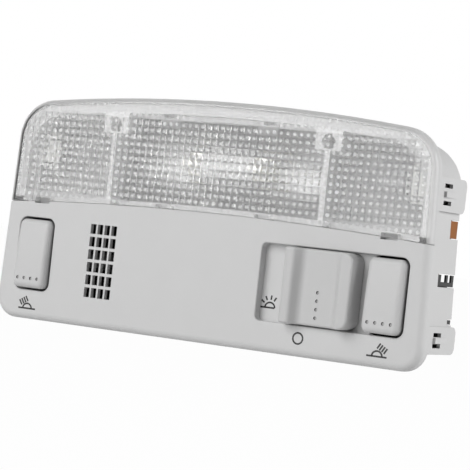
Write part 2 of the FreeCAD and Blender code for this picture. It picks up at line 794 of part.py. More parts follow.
def make_socket():
    x0 = wedge_end - socket_length
    x1 = wedge_end + socket_base
    half = socket_width / 2.0
    y0 = wedge_y - socket_thickness / 2.0
    block = box(x0, x1, y0, carrier_front, bay_mid - half, bay_mid + half)
    block = block.common(box_slab(box_wall + slide_gap, y0 - 1, carrier_front + 1))
    slot = wedge_base_thickness / 2.0 + socket_contact_thickness + slide_gap / 2.0
    wide = wedge_base_width / 2.0 + slide_gap
    block = block.cut(box(x0 - 1, wedge_end, wedge_y - slot, wedge_y + slot, bay_mid - wide, bay_mid + wide))
    strips = []
    w = socket_contact_width / 2.0
    for y in (wedge_y - slot, wedge_y + slot - socket_contact_thickness):
        strips.append(box(x0, wedge_end, y, y + socket_contact_thickness, bay_mid - w, bay_mid + w))
    return as_solid(block), Part.Compound(strips)


def make_button():
    x0 = opening_x0 + button_side_gap
    x1 = opening_x1 - button_side_gap
    z0 = opening_z0 + button_end_gap
    z1 = opening_z1 - button_end_gap
    back = face_y + button_back
    width = Vector(x1 - x0, 0, 0)

    def block(inset, rear):
        zm = (z0 + z1) / 2.0
        low = Vector(x0, button_front_y(z0) + inset, z0 + inset)
        high = Vector(x0, button_front_y(z1) + inset, z1 - inset)
        middle = Vector(x0, button_front_y(zm) - button_bulge + inset, zm)
        rear_low = Vector(x0, rear, z0 + inset)
        rear_high = Vector(x0, rear, z1 - inset)
        edges = [Part.Arc(low, middle, high).toShape(), Part.makeLine(high, rear_high),
                 Part.makeLine(rear_high, rear_low), Part.makeLine(rear_low, low)]
        return Part.Face(Part.Wire(edges)).extrude(width)

    cap = block(0.0, back)
    cap = cap.makeFillet(opening_corner - button_side_gap, edges_along_y(cap))
    front = [e for e in cap.Edges if all(q.Y < face_y - 1.0 for q in e.Vertexes)]
    cap = cap.makeFillet(button_edge, front)
    between_sides = box(x0 + button_wall, x1 - button_wall, -far, far, -far, far)
    hollow = block(button_wall, back + 1).common(between_sides)
    cap = cap.cut(hollow)
    pieces = [cap]
    lug = pivot_lug - 2 * slide_gap
    inset = button_arm_inset
    shape = rounded_prism(x0 + inset, x1 - inset, z0 + inset, z1 - inset, opening_corner - button_side_gap,
                          face_y, pivot_depth + pivot_lug)
    for x in (x0, x1 - button_wall):
        arm = box(x, x + button_wall, face_y, pivot_depth, pivot_z - lug, pivot_z + lug)
        arm = arm.fuse(rod_x(lug, pivot_depth, pivot_z, x, x + button_wall))
        pieces.append(arm.common(shape))
    reach = button_side_gap + collar_wall
    pieces.append(rod_x(pivot_radius, pivot_depth, pivot_z, x0 - reach, x0 + 2 * inset))
    pieces.append(rod_x(pivot_radius, pivot_depth, pivot_z, x1 - 2 * inset, x1 + reach))
    half = finger_width / 2.0
    z = up(finger_height)
    pieces.append(box(opening_mid - half, opening_mid + half,
                      button_front_y(z) + button_wall / 2.0, finger_back, z - half, z + half))
    cap = joined(pieces)
    dots = []
    z = up(dot_height)
    zm = (z0 + z1) / 2.0
    bow = button_bulge * (1.0 - ((z - zm) / (z1 - zm)) ** 2)
    y = button_front_y(z) - bow
    for i in range(dot_count):
        x = opening_mid + (i - (dot_count - 1) / 2.0) * dot_pitch
        dots.append(rod_y(dot_radius, x, z, y - 1.0, y + dot_depth))
    return as_solid(cap.cut(dots))


def make_leaf():
    # Contact leaf: foot on the platform, bent forward under the button's finger
    z_tip = up(finger_height) - leaf_tip_drop
    z_foot = up(opening_height) + button_platform_length - 1.0
    y_foot = button_platform_depth - leaf_thickness / 2.0
    y_top = leaf_y + leaf_thickness / 2.0
    line = [(y_foot, z_foot), (y_foot, z_foot - leaf_foot), (y_top, up(finger_height) + finger_width / 2.0),
            (y_top, up(finger_height)), (y_top + 2 * leaf_thickness, z_tip)]
    x0 = opening_mid - leaf_width / 2.0
    points = [Vector(x0, y, z) for y, z in ribbon(line, leaf_thickness)]
    leaf = prism(points, Vector(leaf_width, 0, 0))
    stud = rod_y(stud_radius, opening_mid, up(finger_height),
                 leaf_y + leaf_thickness + stud_travel, button_platform_depth)
    return leaf, stud


def make_knob():
    top = face_y - knob_proud
    low = face_y - scoop_proud
    rear = floor_y - slide_gap
    z0 = opening_z0 + knob_gap
    z1 = opening_z1 - knob_gap
    a = knob_x0 + ridge_width
    b = knob_x1 - ridge_width
    points = [(knob_x0, rear), (knob_x0, top), (a, top), (a + scoop_slope, low),
              (b - scoop_slope, low), (b, top), (knob_x1, top), (knob_x1, rear)]
    knob = prism([Vector(x, y, z0) for x, y in points], Vector(0, 0, z1 - z0))
    for x, level, radius in ((knob_x0, top, left_round), (a, top, ridge_round), (b, top, ridge_round),
                             (a + scoop_slope, low, scoop_round), (b - scoop_slope, low, scoop_round)):
        line = [e for e in knob.Edges if all(math.hypot(q.X - x, q.Y - level) < 1e-4 for q in e.Vertexes)]
        knob = knob.makeFillet(radius, line)
    knob = knob.makeFillet(knob_corner, [e for e in edges_along_y(knob) if e.Vertexes[0].X > knob_mid])
    rim = []
    for face in knob.Faces:
        if abs(face.normalAt(0, 0).y) < 1e-6:
            for e in face.Edges:
                left = edges_along_y(e) and e.Vertexes[0].X < knob_x0 + eps
                front = not edges_along_y(e) and max(q.Y for q in e.Vertexes) < rear - eps
                across = abs(e.Vertexes[0].Z - e.Vertexes[-1].Z) > 1.0 and e.Vertexes[0].X < knob_mid
                if (left or front) and not across and not any(e.isSame(q) for q in rim):
                    rim.append(e)
    knob = knob.makeFillet(knob_round, rim)
    hollow = rounded_prism(knob_x0 + knob_wall, knob_x1 - knob_wall, z0 + knob_wall, z1 - knob_wall,
                           knob_corner - knob_wall, low + knob_wall, rear + 1)
    knob = knob.cut(hollow)
    half_x = stem_width / 2.0
    half_z = stem_length / 2.0
    stem = box(knob_mid - half_x, knob_mid + half_x, low + knob_wall / 2.0, carriage_y0,
               recess_mid_z - half_z, recess_mid_z + half_z)
    s = spigot_inset
    spigot = box(knob_mid - half_x + s, knob_mid + half_x - s, carriage_y0 - eps, carriage_y1,
                 recess_mid_z - half_z + s, recess_mid_z + half_z - s)
    knob = joined([knob, stem, spigot])
    dots = []
    for i in range(dot_count):
        dots.append(rod_y(dot_radius, knob_mid, up(selector_dot_height) + i * selector_dot_pitch,
                          low - 1.0, low + dot_depth))
    return as_solid(knob.cut(dots))


def make_carriage():
    half = carriage_length / 2.0
    z0 = recess_mid_z - carriage_width / 2.0
    z1 = recess_mid_z + carriage_width / 2.0
    plate = box(knob_mid - half, knob_mid + half, carriage_y0, carriage_y1, z0, z1)
    s = spigot_inset - spigot_gap
    x = stem_width / 2.0 - s
    z = stem_length / 2.0 - s
    plate = plate.cut(box(knob_mid - x, knob_mid + x, carriage_y0 - 1, carriage_y1 + 1,
                          recess_mid_z - z, recess_mid_z + z))
    step = travel / 2.0
    for c in (knob_mid - step, knob_mid, knob_mid + step):
        d = detent_depth
        plate = plate.cut(prism([Vector(c - 1.5 * d, carriage_y0 - 1, z1 + eps),
                                 Vector(c + 1.5 * d, carriage_y0 - 1, z1 + eps),
                                 Vector(c, carriage_y0 - 1, z1 - d)], Vector(0, carriage_thickness + 2, 0)))
    return as_solid(plate)


def make_detent_spring():
    reach = spring_span / 2.0
    z1 = recess_mid_z + carriage_width / 2.0
    z = z1 + spring_post
    low = z1 - detent_depth + spring_gap + spring_thickness
    d = detent_depth + spring_post
    line = [(knob_mid - reach, z), (knob_mid - d, z), (knob_mid, low),
            (knob_mid + d, z), (knob_mid + reach, z)]
    y0 = carriage_y0 + slide_gap
    points = [Vector(x, y0, zz) for x, zz in ribbon(line, spring_thickness)]
    return prism(points, Vector(0, spring_width, 0))


def make_selector_contact():
    t = bridge_thickness
    base = carriage_y1 + t / 2.0
    tip = carriage_y1 + contact_reach - t / 2.0
    line = [(base, recess_mid_z - 1.5 * track_pitch)]
    for i in (-1, 0, 1):
        z = recess_mid_z + i * track_pitch
        line += [(base, z - track_pitch / 2.5), (tip, z), (base, z + track_pitch / 2.5)]
    line.append((base, recess_mid_z + 1.5 * track_pitch))
    x0 = knob_mid - bridge_strip / 2.0
    points = [Vector(x0, y, z) for y, z in ribbon(line, t)]
    return prism(points, Vector(bridge_strip, 0, 0))


def selector_platform_x():
    right = knob_mid + bridge_strip
    return right - selector_platform_width, right


def make_tracks():
    x0, x1 = selector_platform_x()
    strips = []
    for i in (-1, 0, 1):
        z = recess_mid_z + i * track_pitch - track_width / 2.0
        strips.append(box(x0 + 1.0, x1 - 1.0, track_y, track_y + track_thickness, z, z + track_width))
    return Part.Compound(strips)


def platform(x0, x1, y0, z0, z1):
    w = platform_wall
    block = box(x0, x1, y0, carrier_front + eps, z0, z1)
    return block.cut(box(x0 + w, x1 - w, y0 + w, carrier_front + 1, z0 + w, z1 - w))


def plug_box(grow, y0, y1):
    half_x = plug_width / 2.0 + grow
    half_z = plug_opening / 2.0 + grow
    return box(plug_x - half_x, plug_x + half_x, y0, y1, up(plug_height) - half_z, up(plug_height) + half_z)


def make_carrier():
    plate = box_slab(box_wall + carrier_gap, carrier_front, carrier_back)
    plate = plate.cut(roof_bosses(carrier_gap, carrier_front - 1, carrier_back + 1))
    edge = side_x(window_height, box_side_inset + box_wall)
    low = up(window_height) + comb_bar
    high = up(window_height) + window_opening - carrier_gap
    plate = plate.cut(box(edge - see_through_width, edge + 5, carrier_front - 1, carrier_back + 1,
                          low, high + comb_bar))
    pieces = [plate]
    half = button_platform_width / 2.0
    z0 = up(opening_height)
    right = platform(opening_mid - half, opening_mid + half, button_platform_depth,
                     z0, z0 + button_platform_length)
    x0, x1 = selector_platform_x()
    wide = 1.5 * track_pitch + 2.0
    pieces += [right, mirrored(right),
               platform(x0, x1, selector_platform_y, recess_mid_z - wide, recess_mid_z + wide)]
    outer = side_x(window_height + window_opening, box_side_inset) - tab_setback
    front = box_depth - window_length + carrier_gap
    pieces.append(box(outer - tab_root, outer, front, box_depth, low - comb_bar + carrier_gap, low))
    middle = front + comb_front_tooth + comb_front_gap
    rear = middle + comb_middle_tooth + comb_rear_gap
    teeth = ((front, front + comb_front_tooth), (middle, middle + comb_middle_tooth), (rear, box_depth))
    for y0, y1 in teeth:
        pieces.append(box(outer - comb_thickness, outer, y0, y1, low - eps, high))
    outer = side_x(notch_height + notch_opening, box_side_inset) - tab_setback
    pieces.append(box(outer - tab_root, outer, box_depth - notch_length + carrier_gap, box_depth,
                      up(notch_height) + carrier_gap, up(notch_height) + notch_opening - carrier_gap))
    shroud = plug_box(plug_wall, carrier_back - eps, carrier_back + plug_length)
    shroud = shroud.cut(plug_box(0.0, carrier_back - 1, carrier_back + plug_length + 1))
    pieces.append(shroud)
    body = joined(pieces)
    cuts = []
    for x, z in screws:
        cuts.append(rod_y(screw_radius + screw_clearance, x, z, carrier_front - 1, carrier_back + 1))
    for i in range(pin_columns):
        for j in range(pin_rows):
            x, z = pin_place(i, j)
            cuts.append(box(x - pin_width / 2.0, x + pin_width / 2.0, carrier_front - 1, carrier_back + 1,
                            z - pin_thickness / 2.0, z + pin_thickness / 2.0))
    return as_solid(body.cut(cuts))


def pin_place(i, j):
    x = plug_x + (i - (pin_columns - 1) / 2.0) * pin_pitch_x
    z = up(plug_height) + (j - (pin_rows - 1) / 2.0) * pin_pitch_z
    return x, z


def make_pins():
    pins = []
    for i in range(pin_columns):
        for j in range(pin_rows):
            x, z = pin_place(i, j)
            pins.append(box(x - pin_width / 2.0, x + pin_width / 2.0, carrier_front - pin_root,
                            carrier_back + pin_length, z - pin_thickness / 2.0, z + pin_thickness / 2.0))
    return Part.Compound(pins)


def make_screws():
    solids = []
    for x, z in screws:
        shank = rod_y(screw_radius, x, z, carrier_back - screw_length, carrier_back + eps)
        head = rod_y(screw_head_radius, x, z, carrier_back, carrier_back + screw_head_height)
        head = head.makeChamfer(screw_head_height / 3.0, edges_at_y(head, carrier_back + screw_head_height))
        screw = shank.fuse(head).removeSplitter()
        y = carrier_back + screw_head_height
        long = screw_head_radius * 0.6
        short = screw_slot_width / 2.0
        for reach_x, reach_z in ((long, short), (short, long)):
            screw = screw.cut(box(x - reach_x, x + reach_x, y - screw_slot_depth, y + 1,
                                  z - reach_z, z + reach_z))
        solids.append(as_solid(screw))
    return Part.Compound(solids)


def strip_on_carrier(points):
    # Flat copper strip on the rear of the carrier along a line of corners
    y = carrier_back
    return prism([Vector(x, y, z) for x, z in ribbon(points, busbar_width)], Vector(0, busbar_thickness, 0))


def make_busbars():
    plug_top = up(plug_height) + plug_opening / 2.0 + plug_wall + busbar_width
    socket_x = wedge_end - socket_length / 2.0
    left_low = plug_x - plug_width / 2.0 - plug_wall - 2.0 * busbar_width
    left_top = bay_mid + strip_overlap
    left = strip_on_carrier([(-socket_x, left_top), (-socket_x, plug_top), (left_low, plug_top)])
    shoulder = festoon_length / 2.0
    centre = strip_on_carrier([(-shoulder - strip_overlap, bay_mid), (shoulder + strip_overlap, bay_mid)])
    drop = strip_on_carrier([(shoulder, bay_mid), (shoulder, plug_top)])
    centre = as_solid(centre.fuse(drop).removeSplitter())
    z0 = up(strip_window_height) + carrier_gap
    z1 = up(strip_window_height) + strip_window_opening - carrier_gap
    edge = side_x(strip_window_height + strip_window_opening, box_side_inset) - tab_setback
    right = strip_on_carrier([(socket_x, bay_mid + strip_overlap), (socket_x, plug_top),
                              (shoulder + strip_end_gap, plug_top)])
    arm = box(socket_x, edge, carrier_back, carrier_back + busbar_thickness, z0, z1)
    tab = box(edge - busbar_thickness, edge, box_depth - strip_window_length + carrier_gap, box_depth, z0, z1)
    return left, centre, as_solid(joined([right, arm, tab]))


os.makedirs("parts", exist_ok=True)
reflector_centre, reflector_left, reflector_right = make_reflectors()
festoon_glass, festoon_caps, festoon_filament = make_festoon()
bracket = make_bracket()
bulb, wire = make_wedge_bulb()
socket, socket_strips = make_socket()
button = make_button()
leaf, stud = make_leaf()
bar_left, bar_centre, bar_right = make_busbars()

nodes = {
    "housing": make_housing(),
    "lens": make_lens(),
    "reflector_centre": reflector_centre,
    "reflector_left": reflector_left,
    "reflector_right": reflector_right,
    "festoon_glass": festoon_glass,
    "festoon_caps": festoon_caps,
    "festoon_filament": festoon_filament,
    "festoon_contact_left": mirrored(bracket),
    "festoon_contact_right": bracket,
    "wedge_bulb_left": mirrored(bulb),
    "wedge_bulb_right": bulb,
    "wedge_filament_left": mirrored(wire),
    "wedge_filament_right": wire,
    "bulb_holder_left": mirrored(socket),
    "bulb_holder_right": socket,
    "holder_contacts_left": mirrored(socket_strips),
    "holder_contacts_right": socket_strips,
    "button_left": mirrored(button),
    "button_right": button,
    "button_leaf_left": mirrored(leaf),
    "button_leaf_right": leaf,
    "button_contact_left": mirrored(stud),
    "button_contact_right": stud,
    "selector_knob": make_knob(),
    "selector_carriage": make_carriage(),
    "selector_contact": make_selector_contact(),
    "selector_tracks": make_tracks(),
    "detent_spring": make_detent_spring(),
    "contact_carrier": make_carrier(),
    "connector_pins": make_pins(),
    "busbar_left": bar_left,
    "busbar_centre": bar_centre,
    "busbar_right": bar_right,
    "carrier_screws": make_screws(),
}
for name, shape in nodes.items():
    shape.exportStep("parts/" + name + ".step")
    print(name, len(shape.Solids), shape.isValid(), round(shape.Volume, 1))
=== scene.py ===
import json
import math

import bmesh
import bpy
from mathutils import Matrix, Vector


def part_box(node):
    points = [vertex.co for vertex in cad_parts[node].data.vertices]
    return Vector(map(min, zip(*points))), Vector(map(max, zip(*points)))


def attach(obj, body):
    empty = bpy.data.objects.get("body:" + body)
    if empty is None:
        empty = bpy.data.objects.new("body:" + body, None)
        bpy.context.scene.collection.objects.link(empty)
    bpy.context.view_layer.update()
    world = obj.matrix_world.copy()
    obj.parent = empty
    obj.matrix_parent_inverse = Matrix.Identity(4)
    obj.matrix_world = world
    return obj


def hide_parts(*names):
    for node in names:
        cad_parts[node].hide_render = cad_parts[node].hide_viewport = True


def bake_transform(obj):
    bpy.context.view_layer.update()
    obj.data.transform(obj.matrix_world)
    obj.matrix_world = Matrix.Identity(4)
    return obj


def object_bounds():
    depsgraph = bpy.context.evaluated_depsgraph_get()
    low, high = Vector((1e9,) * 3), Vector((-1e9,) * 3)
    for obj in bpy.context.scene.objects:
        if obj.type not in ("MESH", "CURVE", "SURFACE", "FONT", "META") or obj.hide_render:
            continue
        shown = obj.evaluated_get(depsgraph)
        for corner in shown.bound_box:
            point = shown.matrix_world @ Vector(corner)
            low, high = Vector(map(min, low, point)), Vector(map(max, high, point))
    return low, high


MM = 0.001
WELD_DISTANCE = 1e-7

# Camera of the photograph, in the lamp's own frame
CAMERA_PLACE = Vector((443.46, -722.0, -6.03)) * MM
CAMERA_YAW = math.radians(30.93)
CAMERA_PITCH = math.radians(-0.13)
CAMERA_ROLL = math.radians(6.30)
CAMERA_LENS = 158.4
CAMERA_SENSOR = 36.0

# Studio, in watts and metres; the lamps look at the middle of the seat plane
WORLD_LEVEL = 0.10
KEY_WATTS = 17.6
KEY_PLACE = (-0.45, -1.25, 0.55)
KEY_SIZE = 1.2
SIDE_WATTS = 12.0
SIDE_PLACE = (1.2, 0.35, 0.4)
SIDE_SIZE = 0.8
FLOOR_DROP = 0.07
FLOOR_SIZE = 30.0
FLOOR_WHITE = 0.98

# Sockets of Blender's Mix node for colours
MIX_FACTOR = 0
MIX_FIRST = 6
MIX_SECOND = 7
MIX_RESULT = 2

# Darkest and lightest share of a colour over one surface
PLASTIC_SHADES = (0.97, 1.03)
METAL_SHADES = (0.85, 1.08)
REFLECTOR_SHADES = (0.95, 1.05)

# Moulded plastic: its grain, and how far and how much painted shade darkens gaps and finger dots, in metres
# and as a share of the colour
GRAIN_STRENGTH = 0.35
CREVICE_REACH = 0.0012
CREVICE_SHADE = 0.35

# Nodes whose finish is not that of their slot
OWN_FINISH = {"festoon_glass": "frosted_glass", "selector_knob": "knob_grey"}

# Refraction of the clear pieces
LENS_IOR = 1.49
BULB_IOR = 1.45

# Prisms of the lens, in metres: pitch, foot of the lowest row, middle of the wall that carries them
PRISM_PITCH = 0.0031
PRISM_LOW = 0.0060
LENS_MIDDLE = -0.0045
LENS_SOFT = 0.0002

# White haze of the lens: a little everywhere, painted highlights at the prism tips, painted light on steep
# faces and round the outer edge
MILKY_LENS = 0.03
TIP_PAINTED_HIGHLIGHT = 0.50
RIM_PAINTED_LIGHT = 0.60
EDGE_PAINTED_LIGHT = 0.45

# Where the painted shade on the fronts behind the lens starts and is full, in metres: depth just before the
# flange, and height at the foot of the lens
LENS_SHADE_DEPTH = (-0.0022, -0.0019)
LENS_SHADE_HEIGHT = (-0.001, 0.0)

# Partitions between the lamp bays, in metres
PARTITION_X = 0.0510
PARTITION_SOFT = 0.001

# Contact leaves, in metres: length of the strips that each is divided into
LEAF_STRIP = 0.001

# Printed signs, in millimetres: X and height above the bottom edge of the face
FACE_Y = -5.5
FLOOR_Y = -1.5
FACE_BOTTOM = -49.5
INK_THICKNESS = 0.03
SIGN_STROKE = 0.72
READING_LEFT = (-85.2, 4.5)
READING_RIGHT = (83.6, 4.6)
CABIN_LIGHT = (31.6, 17.9)
OFF_PLACE = (48.1, 7.4)

# Dome on its line; the line's reach is to the left and to the right of the dome's middle
DOME_WIDTH = 4.5
DOME_HEIGHT = 2.1
DOME_STEPS = 16
READING_LINE = (4.6, 4.3)
CABIN_LINE = (4.7, 2.2)

# Rays of the signs, and the ring for off
READING_RAYS = 4
READING_RAY_FOOT = (2.9, 1.35)
READING_RAY_STEP = (1.03, 0.58)
READING_RAY_RUN = (1.35, 2.1)
CABIN_RAY_ANGLES = (145, 117, 85, 58)
CABIN_RAY_REACH = (3.2, 5.0)
RING_RADIUS = 2.2
RING_STEPS = 40


class Value:
    """A number in a finish that changes over the surface; operators add Math nodes."""

    def __init__(self, finish, socket):
        self.finish = finish
        self.socket = socket

    def math(self, operation, a, b):
        node = self.finish.node("ShaderNodeMath", {"operation": operation}, {0: a, 1: b})
        return Value(self.finish, node.outputs[0])

    def __add__(self, other):
        return self.math("ADD", self, other)

    def __radd__(self, other):
        return self.math("ADD", other, self)

    def __sub__(self, other):
        return self.math("SUBTRACT", self, other)

    def __rsub__(self, other):
        return self.math("SUBTRACT", other, self)

    def __mul__(self, other):
        return self.math("MULTIPLY", self, other)

    def __rmul__(self, other):
        return self.math("MULTIPLY", other, self)

    def size(self):
        return self.math("ABSOLUTE", self, 0.0)

    def fraction(self):
        return self.math("FRACT", self, 0.0)


class Finish:
    """The nodes of one material, or of the world."""

    def __init__(self, owner, output):
        owner.use_nodes = True
        self.owner = owner
        self.output = output
        self.tree = owner.node_tree
        self.tree.nodes.clear()

    def node(self, kind, settings, sockets):
        node = self.tree.nodes.new(kind)
        for name, value in settings.items():
            setattr(node, name, value)
        for name, value in sockets.items():
            if isinstance(value, Value):
                self.tree.links.new(value.socket, node.inputs[name])
            else:
                node.inputs[name].default_value = value
        return node

    def value(self, node, output):
        return Value(self, node.outputs[output])

    def position(self):
        return self.value(self.node("ShaderNodeTexCoord", {}, {}), "Object")

    def facing(self):
        return self.value(self.node("ShaderNodeNewGeometry", {}, {}), "True Normal")

    def axes(self, vector):
        node = self.node("ShaderNodeSeparateXYZ", {}, {"Vector": vector})
        return [self.value(node, axis) for axis in ("X", "Y", "Z")]

    def ramp(self, value, low, high):
        """Nought at low, one at high, smooth between them; low may be the larger one."""
        node = self.node("ShaderNodeMapRange", {"interpolation_type": "SMOOTHSTEP"},
                         {"Value": value, "From Min": low, "From Max": high})
        return self.value(node, "Result")

    def noise(self, scale, detail):
        node = self.node("ShaderNodeTexNoise", {},
                         {"Vector": self.position(), "Scale": scale, "Detail": detail})
        return self.value(node, "Fac")

    def tint(self, factor, first, second):
        """From the first colour to the second; each is a plain colour or another tint."""
        ends = [end if isinstance(end, Value) else end + (1.0,) for end in (first, second)]
        node = self.node("ShaderNodeMix", {"data_type": "RGBA"},
                         {MIX_FACTOR: factor, MIX_FIRST: ends[0], MIX_SECOND: ends[1]})
        return self.value(node, MIX_RESULT)

    def uneven(self, factor, colour, shades):
        """The colour between its darkest and its lightest share."""
        return self.tint(factor, shade(colour, shades[0]), shade(colour, shades[1]))

    def painted_crevice_shade(self):
        """Share of painted shade: nought on open faces, towards one in gaps and small holes."""
        node = self.node("ShaderNodeAmbientOcclusion", {}, {"Distance": CREVICE_REACH})
        return self.ramp(self.value(node, "AO"), low=0.9, high=0.3)

    def bump(self, height, strength, distance):
        node = self.node("ShaderNodeBump", {}, {"Height": height, "Strength": strength, "Distance": distance})
        return self.value(node, "Normal")

    def shader(self, kind, sockets):
        return self.value(self.node(kind, {}, sockets), 0)

    def principled(self, sockets):
        return self.shader("ShaderNodeBsdfPrincipled", sockets)

    def mix_shaders(self, share, first, second):
        return self.shader("ShaderNodeMixShader", {0: share, 1: first, 2: second})

    def seen(self):
        """One or more for what the camera sees, also mirrored or through glass."""
        path = self.node("ShaderNodeLightPath", {}, {})
        direct = self.value(path, "Is Camera Ray")
        return direct + self.value(path, "Is Glossy Ray") + self.value(path, "Is Transmission Ray")

    def show(self, shader):
        self.node(self.output, {}, {"Surface": shader})
        return self.owner


def new_finish(name):
    return Finish(bpy.data.materials.new(name), "ShaderNodeOutputMaterial")


def grey(level):
    return (level, level, level)


def shade(colour, factor):
    return tuple(min(1.0, c * factor) for c in colour)


def lens_painted_shade(finish):
    """Share of painted shade: one on the fronts of the flange and the deck behind the lens, nought elsewhere.
    """
    _, y, z = finish.axes(finish.position())
    _, front, _ = finish.axes(finish.facing())
    deep = finish.ramp(y, *LENS_SHADE_DEPTH)
    upper = finish.ramp(z, *LENS_SHADE_HEIGHT)
    return deep * upper * finish.ramp(front, low=-0.3, high=-0.6)


def grained_plastic(name, colour, grain, depth, roughness, lens_shade_colour=None):
    """Moulded plastic, with painted shade darkening its gaps and finger dots, or else the fronts behind the
    lens.
    """
    finish = new_finish(name)
    tone = finish.noise(scale=60.0, detail=3.0)
    fine = finish.noise(scale=grain, detail=2.0)
    unshaded_colour = finish.uneven(tone, colour, PLASTIC_SHADES)
    # Painted shade: darker on the fronts behind the lens where that colour is given, else darker in gaps and
    # finger dots.
    if lens_shade_colour:
        with_painted_shade = finish.tint(lens_painted_shade(finish), unshaded_colour, lens_shade_colour)
    else:
        with_painted_shade = finish.tint(finish.painted_crevice_shade(), unshaded_colour, shade(colour, CREVICE_SHADE))
    return finish.show(finish.principled({
        "Base Color": with_painted_shade,
        "Roughness": roughness - 0.06 + tone * 0.12,
        "Normal": finish.bump(fine, GRAIN_STRENGTH, depth),
    }))


def clear_lens(name):
    """Clear plastic with a little haze, whiter at the prism tips as painted highlights and on steep faces and
    round the outer edge as painted light.
    """
    finish = new_finish(name)
    haze = finish.noise(scale=300.0, detail=2.0)
    x, y, z = finish.axes(finish.position())
    _, front, _ = finish.axes(finish.facing())
    flat = front.size()
    rim = finish.ramp(flat, low=0.9, high=0.6)
    inside = finish.ramp(y, low=LENS_MIDDLE - LENS_SOFT, high=LENS_MIDDLE + LENS_SOFT)
    edge = finish.ramp(flat, low=0.995, high=0.90) * (1.0 - inside) * (1.0 - rim)
    across = (x * (1.0 / PRISM_PITCH)).fraction() - 0.5
    along = ((z - PRISM_LOW) * (1.0 / PRISM_PITCH)).fraction() - 0.5
    # Painted highlights: a whiter dot at the tip of each prism.
    tip = finish.ramp(across * across + along * along, low=0.09, high=0.03) * inside * (1.0 - rim)
    clear = finish.principled({
        "Base Color": finish.tint(haze, grey(0.95), grey(1.0)),
        "Roughness": 0.04 + haze * 0.08,
        "IOR": LENS_IOR,
        "Transmission Weight": 1.0,
        "Alpha": 0.92 - rim * 0.62,
    })
    haze_and_painted_light = finish.principled({
        "Base Color": finish.tint(haze, grey(0.90), grey(0.96)),
        "Roughness": 0.25 + haze * 0.10,
    })
    # Painted light on steep faces and round the outer edge, painted highlights at the prism tips, over a
    # little haze.
    share = MILKY_LENS + tip * TIP_PAINTED_HIGHLIGHT + rim * RIM_PAINTED_LIGHT + edge * EDGE_PAINTED_LIGHT
    return finish.show(finish.mix_shaders(share, clear, haze_and_painted_light))


def bulb_glass(name, roughness, clearness):
    finish = new_finish(name)
    haze = finish.noise(scale=200.0, detail=2.0)
    return finish.show(finish.principled({
        "Base Color": finish.tint(haze, grey(0.95), grey(1.0)),
        "Roughness": roughness + haze * 0.04,
        "IOR": BULB_IOR,
        "Transmission Weight": clearness,
    }))


def worked_metal(name, colour, roughness):
    finish = new_finish(name)
    stain = finish.noise(scale=180.0, detail=4.0)
    return finish.show(finish.principled({
        "Base Color": finish.uneven(stain, colour, METAL_SHADES),
        "Roughness": roughness - 0.08 + stain * 0.16,
        "Metallic": 1.0,
    }))


def reflector_metal(name, colour, satin_colour):
    """Bright metal in the middle bay, satin in the reading bays."""
    finish = new_finish(name)
    x, _, _ = finish.axes(finish.position())
    stain = finish.noise(scale=180.0, detail=4.0)
    satin = finish.ramp(x.size(), low=PARTITION_X - PARTITION_SOFT, high=PARTITION_X + PARTITION_SOFT)
    bright = finish.uneven(stain, colour, REFLECTOR_SHADES)
    return finish.show(finish.principled({
        "Base Color": finish.tint(satin, bright, satin_colour),
        "Roughness": 0.30 + stain * 0.10 + satin * 0.30,
        "Metallic": 1.0 - satin * 0.8,
    }))


def sign_ink(name):
    finish = new_finish(name)
    wear = finish.noise(scale=900.0, detail=3.0)
    return finish.show(finish.principled({
        "Base Color": finish.tint(wear, grey(0.008), grey(0.022)),
        "Roughness": 0.45 + wear * 0.2,
    }))


def make_finishes():
    return {
        # Darker grey on the fascia's fronts behind the lens: painted shade.
        "fascia_grey": grained_plastic("grey_fascia_plastic", grey(0.59), grain=2600.0, depth=0.00004,
                                       roughness=0.55, lens_shade_colour=grey(0.44)),
        "button_grey": grained_plastic("grey_button_plastic", grey(0.56), grain=3200.0, depth=0.00003,
                                       roughness=0.48),
        "knob_grey": grained_plastic("grey_knob_plastic", grey(0.525), grain=3200.0, depth=0.00003,
                                     roughness=0.48),
        "carrier_black": grained_plastic("black_carrier_plastic", grey(0.014), grain=2200.0, depth=0.00003,
                                         roughness=0.62),
        "socket_white": grained_plastic("white_socket_plastic", (0.62, 0.62, 0.60), grain=2200.0,
                                        depth=0.00003, roughness=0.5),
        "lens_clear": clear_lens("clear_prism_lens"),
        "bulb_glass": bulb_glass("clear_bulb_glass", roughness=0.0, clearness=1.0),
        "frosted_glass": bulb_glass("frosted_bulb_glass", roughness=0.25, clearness=0.35),
        "reflector_metal": reflector_metal("metallised_reflector", grey(0.30), satin_colour=grey(0.36)),
        "contact_brass": worked_metal("tinned_contact_brass", (0.66, 0.65, 0.60), roughness=0.32),
        "strip_copper": worked_metal("stamped_copper", (0.24, 0.09, 0.025), roughness=0.50),
        "spring_steel": worked_metal("plated_steel", (0.62, 0.62, 0.63), roughness=0.3),
        "filament_wire": worked_metal("filament_wire", (0.45, 0.45, 0.46), roughness=0.35),
    }


def paint_nodes(frame, finishes):
    """Each node gets its own finish where it has one, and else the finish of its slot."""
    slots = {s["node"]: s["material_slot"] for s in frame["record"]["subparts"]}
    slots.update(OWN_FINISH)
    for name, node in frame["nodes"].items():
        node.data.materials.clear()
        node.data.materials.append(finishes[slots[name]])


def mesh_piece(name, mesh, material):
    bmesh.ops.remove_doubles(mesh, verts=mesh.verts, dist=WELD_DISTANCE)
    bmesh.ops.recalc_face_normals(mesh, faces=mesh.faces)
    data = bpy.data.meshes.new(name)
    mesh.to_mesh(data)
    mesh.free()
    data.materials.append(material)
    piece = bpy.data.objects.new(name, data)
    bpy.context.scene.collection.objects.link(piece)
    return piece


